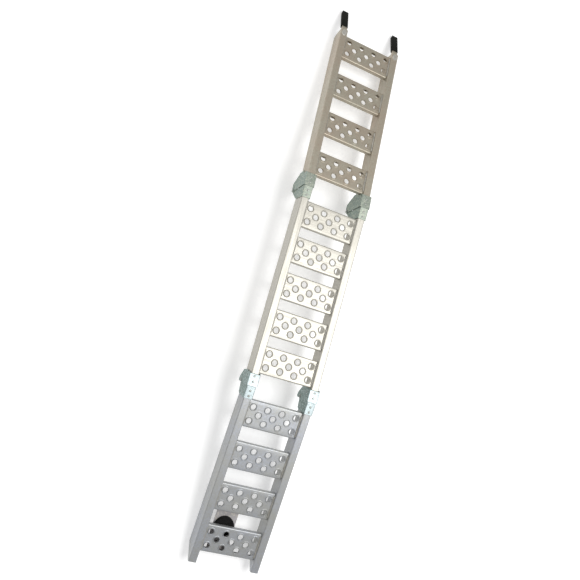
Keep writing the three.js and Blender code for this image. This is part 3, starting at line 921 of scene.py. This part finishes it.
@dataclass
class FoldHinges:
    """The brackets, pins, washers and rivets at both seams and both rails."""

    layout: Layout
    finishes: Finishes
    sheet: float = 3 * MM
    side_gap: float = 0.3 * MM
    nest_gap: float = 0.5 * MM
    top_gap: float = 0.3 * MM
    top_cut: float = 6 * MM
    narrow_length: float = 49.5 * MM
    ear_radius: float = 12 * MM
    pin_setback: float = 8 * MM
    pin_radius: float = 5 * MM
    inner_bend: float = 1.2 * MM
    pin_play: float = 0.4 * MM
    head_gap: float = 0.3 * MM
    pin_tail: float = 3.1 * MM
    pin_point: float = 0.8 * MM
    edge_round: float = 0.35 * MM
    rivet_lift: float = 0.1 * MM
    rivet_places: Tuple[float, float] = (18 * MM, 39 * MM)
    side_rivet_places: Tuple[Point2, Point2] = ((11 * MM, -60 * MM), (16 * MM, -24 * MM))

    @property
    def narrow_outer(self) -> float:
        """Half the width over a narrow bracket."""
        return self.layout.rail_width / 2 + self.side_gap + self.sheet

    @property
    def wide_outer(self) -> float:
        """Half the width over a wide bracket."""
        return self.narrow_outer + self.nest_gap + self.sheet

    def pin_centre(self, drop: float, wide: bool) -> Point2:
        """The pin's place in the frame of one half of a hinge."""
        back = self.pin_setback if wide else -self.pin_setback
        mitre = self.layout.arch / 2
        return (
            back * math.cos(mitre) + drop * math.sin(mitre),
            back * math.sin(mitre) - drop * math.cos(mitre),
        )

    def wide_outline(self, size: HingeSize) -> List[Point2]:
        """The side outline of a wide bracket."""
        seam_y = self.layout.seam_y
        top = self.top_gap + self.sheet
        under_tread = -self.layout.tread_recess - self.layout.tread_flange - self.sheet
        return [
            (seam_y(top), top),
            (seam_y(4 * MM - size.ear_drop), 4 * MM - size.ear_drop),
            (seam_y(-size.ear_drop) + 3.5 * MM, -size.ear_drop),
            (size.ear_level, -size.ear_drop),
            (size.ear_level + 5 * MM, 3 * MM - size.ear_drop),
            (size.ear_length - 1 * MM, -self.layout.rail_height - 3 * MM),
            (size.ear_length, -self.layout.rail_height),
            (size.ear_length, under_tread - 2 * MM),
            (size.ear_length - 2 * MM, under_tread),
            (size.length, under_tread),
            (size.length, -self.top_cut),
            (size.length - self.top_cut, top),
        ]

    def narrow_outline(self, size: HingeSize) -> List[Point2]:
        """The side outline of a narrow bracket, whose ears run round their pin."""
        pin = self.pin_centre(size.pin_drop, False)
        top = self.top_gap + self.sheet
        low = self.layout.rail_height
        return [
            (self.layout.seam_y(top), top),
            (self.layout.seam_y(3 * MM - low), 3 * MM - low),
            *arc(pin, self.ear_radius, 150, 300, 16),
            (self.narrow_length - 4 * MM, -low),
            (self.narrow_length, self.layout.rail_width / 2 - low),
            (self.narrow_length, top),
        ]

    def bracket(self, outline: List[Point2], outer: float, pin: Point2) -> Shape:
        """A folded bracket over a rail.

        Args:
            outline: its side outline.
            outer: half its width.
            pin: its pin hole's place.

        Returns:
            The bracket about its rail's middle.
        """
        top = self.top_gap + self.sheet
        deep, far = -2 * CUT_REACH, 2 * CUT_REACH
        body = pulled_outline("bracket", outline, -outer, outer, Plane.SIDE)
        fold = rounded_box((-outer, deep), (outer, top), self.sheet + self.inner_bend, 6)
        carve(body, pulled_outline("fold", fold, -far, far, Plane.SECTION), "INTERSECT")
        inner = outer - self.sheet
        room = rounded_box((-inner, 2 * deep), (inner, self.top_gap), self.inner_bend, 4)
        carve(body, pulled_outline("room", room, -far, far, Plane.SECTION))
        hole = ring(pin, self.pin_radius + self.pin_play)
        carve(body, pulled_outline("pin_hole", hole, -2 * outer, 2 * outer, Plane.SIDE))
        make_normals_point_out(body)
        soften(body, self.edge_round, 1, 50)
        smooth(body, 30)
        return body

    def pin(self) -> Shape:
        """A pin along z with a low domed head at its upper end, about the rail's middle."""
        head = self.wide_outer + self.head_gap
        end = -self.wide_outer - self.pin_tail
        profile = [
            (0, end),
            (self.pin_radius - self.pin_point, end),
            (self.pin_radius, end + self.pin_point),
            (self.pin_radius, head),
            *((radius, head + rise) for radius, rise in in_mm(PIN_HEAD)),
        ]
        return turned("pin", profile, ROUND_STEPS, 35)

    def washer(self) -> Shape:
        """A push-on washer near a pin's plain end, dished round its hole."""
        face = -self.wide_outer - self.head_gap
        profile = [(radius, face + rise) for radius, rise in in_mm(WASHER)]
        return turned("washer", profile, ROUND_STEPS, 35)

    def one_half(self, hinge: Hinge, wide: bool) -> List[Piece]:
        """Both brackets of one half of a hinge, with their rivets and pins.

        Args:
            hinge: the hinge.
            wide: whether it is the wide half.

        Returns:
            The pieces, in place.
        """
        size = hinge.size
        half = "wide" if wide else "narrow"
        outer = self.wide_outer if wide else self.narrow_outer
        outline = self.wide_outline(size) if wide else self.narrow_outline(size)
        centre = self.pin_centre(size.pin_drop, wide)
        pattern = self.bracket(outline, outer, centre)
        rivet = turned("rivet", in_mm(SHANK + DOME), 24, 40)
        side_rivet = turned("side_rivet", in_mm(LOW_HEAD), 20, 40)
        on_middle = wide == (hinge is Hinge.LOWER)
        body = "middle_section" if on_middle else f"{hinge.value}_section"
        if on_middle:
            home = self.layout.middle_side_of_seam(hinge.value)
        else:
            home = self.layout.section(hinge.value)
        zinc = self.finishes.zinc_upper if hinge is Hinge.UPPER else self.finishes.zinc_lower
        pieces = []
        for side in ("left", "right"):
            name = f"{hinge.value}_hinge_{side}_{half}"
            x = self.rail_side_x(home, side)
            place = home @ Matrix.Translation((x, 0, 0))
            bracket = copied(f"{name}_bracket_folded", pattern, place)
            bracket.data.materials.append(zinc)
            pieces.append(Piece(bracket, body, "hinge_zinc", (f"{name}_bracket",)))
            top = self.top_gap + self.sheet + self.rivet_lift
            for index, y in enumerate(self.rivet_places, 1):
                node = f"{name}_rivet_{index}"
                dome = copied(f"{node}_domed", rivet, place @ Matrix.Translation((0, y, top)))
                dome.data.materials.append(self.finishes.fastener)
                pieces.append(Piece(dome, body, "fastener_zinc", (node,)))
            length = size.length if wide else self.narrow_length
            heads = []
            for sign in (-1, 1):
                lay = Matrix.Rotation(sign * math.pi / 2, 4, "Y")
                for back, z in self.side_rivet_places:
                    stand = Matrix.Translation((sign * outer, length - back, z)) @ lay
                    heads.append(copied("head", side_rivet, place @ stand))
            heads = joined(f"{name}_side_rivets", heads)
            heads.data.materials.append(self.finishes.fastener)
            pieces.append(Piece(heads, body, "fastener_zinc"))
            if wide:
                pieces += self.pin_and_washer(hinge, side, body, place, centre, x)
        put_away((pattern, rivet, side_rivet))
        return pieces

    def rail_side_x(self, home: Matrix, side: str) -> float:
        """A rail's x in a section's frame, which may look down the ramp."""
        looks_up = home.to_3x3().col[0].x > 0
        sign = -1 if side == "left" else 1
        return sign * self.layout.rail_x * (1 if looks_up else -1)

    def pin_and_washer(
        self, hinge: Hinge, side: str, body: str, place: Matrix, centre: Point2, x: float
    ) -> List[Piece]:
        """The pin of one rail's hinge, its head outside the ramp, and its washer."""
        outward = Matrix.Rotation(math.copysign(math.pi / 2, x), 4, "Y")
        stand = place @ Matrix.Translation((0, centre[0], centre[1])) @ outward
        pieces = []
        for what, pattern in (("pin", self.pin()), ("washer", self.washer())):
            node = f"{hinge.value}_hinge_{side}_{what}"
            piece = copied(f"{node}_turned", pattern, stand)
            piece.data.materials.append(self.finishes.fastener)
            put_away((pattern,))
            pieces.append(Piece(piece, body, "fastener_zinc", (node,)))
        return pieces

    def build(self) -> List[Piece]:
        """Both halves of both hinges."""
        pieces = []
        for hinge in Hinge:
            for wide in (True, False):
                pieces += self.one_half(hinge, wide)
        return pieces


# ---- fingers ----


WELD_PAD = ((0, -0.6), (11.5, -0.6), (11, 0.5), (9, 1.5), (6.5, 1.2), (3, 1.5), (0, 1.7))


@dataclass
class FingerSleeves:
    """The rubber sleeves on the two bent fingers."""

    layout: Layout
    finishes: Finishes
    finger_width: float = 24 * MM
    finger_thickness: float = 12 * MM
    wall: float = 3.3 * MM
    neck: float = 28 * MM
    length: float = 108 * MM
    bend: float = math.radians(18)
    bend_back: float = 4 * MM
    rail_wall: float = 3.3 * MM
    corner: float = 4.5 * MM
    tip_plan_corner: float = 7 * MM
    tip_side_corner: float = 5 * MM
    past_mouth: float = 20 * MM
    play: float = 0.2 * MM
    tip_wall: float = 6.8 * MM
    groove_count: int = 3
    groove_pitch: float = 5 * MM
    groove_width: float = 1.6 * MM
    groove_depth: float = 0.7 * MM
    weld_back: float = 17 * MM
    weld_stretch: float = 1.35

    def pattern(self) -> Shape:
        """A sleeve along y from the bend, with a rolled lip at its mouth and a rounded tip."""
        half = self.finger_width / 2 + self.wall
        low, top = -self.finger_thickness - self.wall, self.wall
        start, end = self.neck - self.past_mouth, self.neck + self.length
        outline = rounded_box((-half, low), (half, top), self.corner, 5)
        body = pulled_outline("sleeve", outline, self.neck, end, Plane.SECTION)
        plan = rounded_box((-half, start), (half, end), self.tip_plan_corner, 6)
        tool = pulled_outline("plan", plan, -CUT_REACH, CUT_REACH, Plane.PLAN)
        carve(body, tool, "INTERSECT")
        side = rounded_box((start, low), (end, top), self.tip_side_corner, 6)
        tool = pulled_outline("side", side, -CUT_REACH, CUT_REACH, Plane.SIDE)
        carve(body, tool, "INTERSECT")
        room_half, room_low = self.finger_width / 2 + self.play, -self.finger_thickness - self.play
        room = rounded_box((-room_half, room_low), (room_half, self.play), 0.8 * MM, 2)
        room_start, room_end = self.neck - self.past_mouth / 2, end - self.tip_wall
        carve(body, pulled_outline("room", room, room_start, room_end, Plane.SECTION))
        for count in range(1, self.groove_count + 1):
            carve(body, self.groove(half, low, self.neck + count * self.groove_pitch))
        make_normals_point_out(body)
        soften(body, 0.4 * MM, 2, 40)
        smooth(body, 35)
        return body

    def groove(self, half: float, low: float, y: float) -> Shape:
        """A band round the sleeve that cuts a shallow groove from y onward."""
        depth, top = self.groove_depth, self.wall
        outside = rounded_box((-2 * half, 3 * low), (2 * half, 3 * top), 1 * MM, 1)
        band = pulled_outline("groove", outside, y, y + self.groove_width, Plane.SECTION)
        keep = rounded_box((-half + depth, low + depth), (half - depth, top - depth), 4 * MM, 5)
        carve(band, pulled_outline("keep", keep, y - CUT_REACH, y + CUT_REACH, Plane.SECTION))
        return band

    def weld_pad(self) -> Shape:
        """The low oval weld on top of a rail's end, over the finger that enters it."""
        pad = turned("weld_pad", in_mm(WELD_PAD), 28, 180)
        pad.data.transform(Matrix.Diagonal((1, self.weld_stretch, 1, 1)))
        smooth(pad, 50)
        return pad

    def build(self) -> List[Piece]:
        """One sleeve on each finger, and a weld where each finger enters its rail."""
        pattern = self.pattern()
        pad = self.weld_pad()
        home = self.layout.section("upper")
        pieces = []
        for side, sign in (("left", -1), ("right", 1)):
            x = sign * self.layout.rail_x
            root = (x, self.layout.upper_length - self.bend_back, -self.rail_wall)
            place = home @ Matrix.Translation(root) @ Matrix.Rotation(-self.bend, 4, "X")
            node = f"finger_sleeve_{side}"
            sleeve = copied(f"{node}_moulded", pattern, place)
            sleeve.data.materials.append(self.finishes.rubber)
            pieces.append(Piece(sleeve, "upper_section", "black_rubber", (node,)))
            spot = Matrix.Translation((x, self.layout.upper_length - self.weld_back, 0))
            weld = copied(f"finger_weld_{side}", pad, home @ spot)
            weld.data.materials.append(self.finishes.weld)
            pieces.append(Piece(weld, "upper_section", "upper_aluminium"))
        put_away((pattern, pad))
        return pieces


# ---- the strap stowed under the last treads ----


@dataclass
class StowedStrap:
    """The folded tray under the last two treads, and the strap wound up on it."""

    layout: Layout
    finishes: Finishes
    strap_thickness: float = 1.3 * MM
    turn_gap: float = 0.35 * MM
    inner_radius: float = 9.4 * MM
    height: float = 15 * MM
    sheet: float = 2 * MM
    first_lip: float = 12 * MM
    last_lip: float = 34 * MM
    step: float = 12 * MM
    drop: float = 18 * MM
    ease: float = 2 * MM
    points_per_turn: int = 40
    selvedge: float = 0.6 * MM
    wander: float = 0.12 * MM
    wander_rate: float = 5.3
    wander_start: float = 0.7
    lift: float = 0.45 * MM
    lift_rate: float = 0.83

    def local_box(self, node: str) -> Tuple[Vector, Vector]:
        """A lower-section node's box in the section's own frame."""
        back = self.layout.section("lower").inverted()
        points = [back @ vertex.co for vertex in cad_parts[node].data.vertices]
        low = Vector([min(point[axis] for point in points) for axis in range(3)])
        high = Vector([max(point[axis] for point in points) for axis in range(3)])
        return low, high

    def tray(self) -> Piece:
        """The folded sheet, with soft bends and rounded corners."""
        low, high = self.local_box("strap_tray")
        start, end, top = low.y, high.y, high.z
        floor = top - self.drop
        first = start + self.first_lip
        last = end - self.last_lip
        upper = [
            (start, top),
            (first - 1.5 * self.ease, top),
            (first, top - self.ease / 2),
            (first + self.step - self.ease, floor + self.ease / 2),
            (first + self.step + self.ease, floor),
            (last - self.step - self.ease, floor),
            (last - self.step + self.ease, floor + self.ease / 2),
            (last, top - self.ease / 2),
            (last + 1.5 * self.ease, top),
            (end, top),
        ]
        lower = [(y, z - self.sheet) for y, z in reversed(upper)]
        tray = pulled_outline("strap_tray_folded", [*upper, *lower], low.x, high.x, Plane.SIDE)
        soften(tray, 0.5 * MM, 2, 60)
        smooth(tray, 40)
        tray.data.transform(self.layout.section("lower"))
        tray.data.materials.append(self.finishes.tray)
        return Piece(tray, "lower_section", "tray_sheet", ("strap_tray",))

    def coil(self) -> Piece:
        """The strap, wound flat on edge into a spiral whose outer turns lie a little unevenly."""
        low, high = self.local_box("strap_coil")
        centre = (low + high) / 2
        outer = (high.x - low.x) / 2 - self.strap_thickness / 2
        pitch = self.strap_thickness + self.turn_gap
        turns = int((outer - self.inner_radius) / pitch)
        curve = bpy.data.curves.new("strap_line", "CURVE")
        curve.dimensions = "3D"
        curve.extrude = self.height / 2 - self.selvedge
        line = curve.splines.new("POLY")
        count = turns * self.points_per_turn
        line.points.add(count)
        for index in range(count + 1):
            angle = 2 * math.pi * index / self.points_per_turn
            radius = self.inner_radius + pitch * index / self.points_per_turn
            swing = math.sin(self.wander_rate * angle + self.wander_start)
            wander = self.wander * swing * (radius / outer)
            lift = self.lift * math.sin(self.lift_rate * angle)
            line.points[index].co = (
                centre.x + (radius + wander) * math.cos(angle),
                centre.y + (radius + wander) * math.sin(angle),
                centre.z + lift,
                1,
            )
        coil = bpy.data.objects.new("strap_coil_wound", curve)
        bpy.context.scene.collection.objects.link(coil)
        select_only(coil)
        bpy.ops.object.convert(target="MESH")
        coil = bpy.context.object
        wall = coil.modifiers.new("thickness", "SOLIDIFY")
        wall.thickness = self.strap_thickness
        wall.offset = 0
        apply_modifier(coil, wall)
        make_normals_point_out(coil)
        smooth(coil, 50)
        coil.data.transform(self.layout.section("lower"))
        coil.data.materials.append(self.finishes.webbing)
        return Piece(coil, "lower_section", "black_webbing", ("strap_coil",))

    def build(self) -> List[Piece]:
        """The tray and the wound strap."""
        return [self.tray(), self.coil()]


# ---- CAD nodes that stay ----


@dataclass
class KeptNodes:
    """The rails, fingers and clip keep their CAD shape and get their finish."""

    finishes: Finishes

    def finish_for(self, node: str) -> bpy.types.Material:
        """The finish that a kept node shows."""
        if node.startswith("finger"):
            return self.finishes.rail["upper"]
        if node == "strap_clip":
            return self.finishes.rubber
        return self.finishes.rail[node.split("_")[0]]

    def dress(self) -> None:
        """Give every node that is still shown its finish."""
        for node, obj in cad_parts.items():
            if obj.hide_render:
                continue
            material = self.finish_for(node)
            if not obj.material_slots:
                obj.data.materials.append(material)
            for material_slot in obj.material_slots:
                material_slot.material = material
            LOG.info("%s: kept from the frame", node)


# ---- studio ----


@dataclass(frozen=True)
class SoftLight:
    """A large area light that faces a point on the ramp."""

    name: str
    place: Point3
    aim: Point3
    sides: Tuple[float, float]
    power: float

    def hang(self) -> None:
        """Put the light into the scene."""
        data = bpy.data.lights.new(self.name, "AREA")
        data.shape = "RECTANGLE"
        data.size, data.size_y = self.sides
        data.energy = self.power
        lamp = bpy.data.objects.new(self.name, data)
        lamp.location = self.place
        facing = Vector(self.aim) - Vector(self.place)
        lamp.rotation_euler = facing.to_track_quat("-Z", "Y").to_euler()
        bpy.context.scene.collection.objects.link(lamp)


@dataclass
class Studio:
    """The floor, the soft light and the camera."""

    lights: Tuple[SoftLight, ...] = (
        SoftLight("soft_box", place=(1.0, -0.2, 2.9), aim=(0, -0.2, 0), sides=(2.3, 1.3), power=61),
        SoftLight("left_panel", place=(-1.8, 2.1, 2.0), aim=(0, 0, 0), sides=(1.8, 1.8), power=20),
    )
    camera_place: Point3 = (-0.9233, -0.4933, 2.5871)
    camera_turn: Point3 = (3.066, -20.818, 16.600)
    lens: float = 40.5
    sensor: float = 36
    floor_half: float = 9.0
    world_strength: float = 0.45
    floor_glow: float = 0.38
    floor_colour: Colour = (0.86, 0.86, 0.86)

    def floor(self) -> None:
        """A large pale floor."""
        bpy.ops.object.select_all(action="DESELECT")
        side = 2 * self.floor_half
        bpy.ops.mesh.primitive_grid_add(x_subdivisions=8, y_subdivisions=8, size=side)
        floor = bpy.context.object
        floor.name = "studio_floor"
        finish = StudioFloor("studio_floor", self.floor_colour, self.floor_glow)
        floor.data.materials.append(finish.material())

    def world(self) -> None:
        """An even white surround."""
        world = bpy.data.worlds.new("studio_world")
        world.use_nodes = True
        background = world.node_tree.nodes["Background"]
        background.inputs["Color"].default_value = (1, 1, 1, 1)
        background.inputs["Strength"].default_value = self.world_strength
        bpy.context.scene.world = world

    def camera(self) -> None:
        """The camera, above the ramp's left side and looking down along it."""
        data = bpy.data.cameras.new("camera")
        data.lens = self.lens
        data.sensor_width = self.sensor
        camera = bpy.data.objects.new("camera", data)
        camera.location = self.camera_place
        camera.rotation_euler = [math.radians(angle) for angle in self.camera_turn]
        bpy.context.scene.collection.objects.link(camera)
        bpy.context.scene.camera = camera

    def build(self) -> None:
        """Set the stage."""
        self.camera()
        self.floor()
        self.world()
        for light in self.lights:
            light.hang()
        bpy.context.scene.view_settings.view_transform = "Standard"


def main() -> None:
    """Set the stage, build the ramp's pieces in order and give the kept nodes their finish."""
    logging.basicConfig(level=logging.INFO, format="%(name)s %(message)s")
    Studio().build()
    layout = Layout()
    finishes = Finishes()
    for assembly in (
        PunchedTreads(layout, finishes),
        FoldHinges(layout, finishes),
        FingerSleeves(layout, finishes),
        StowedStrap(layout, finishes),
    ):
        for piece in assembly.build():
            piece.settle()
    KeptNodes(finishes).dress()


if __name__ == "__main__":
    main()
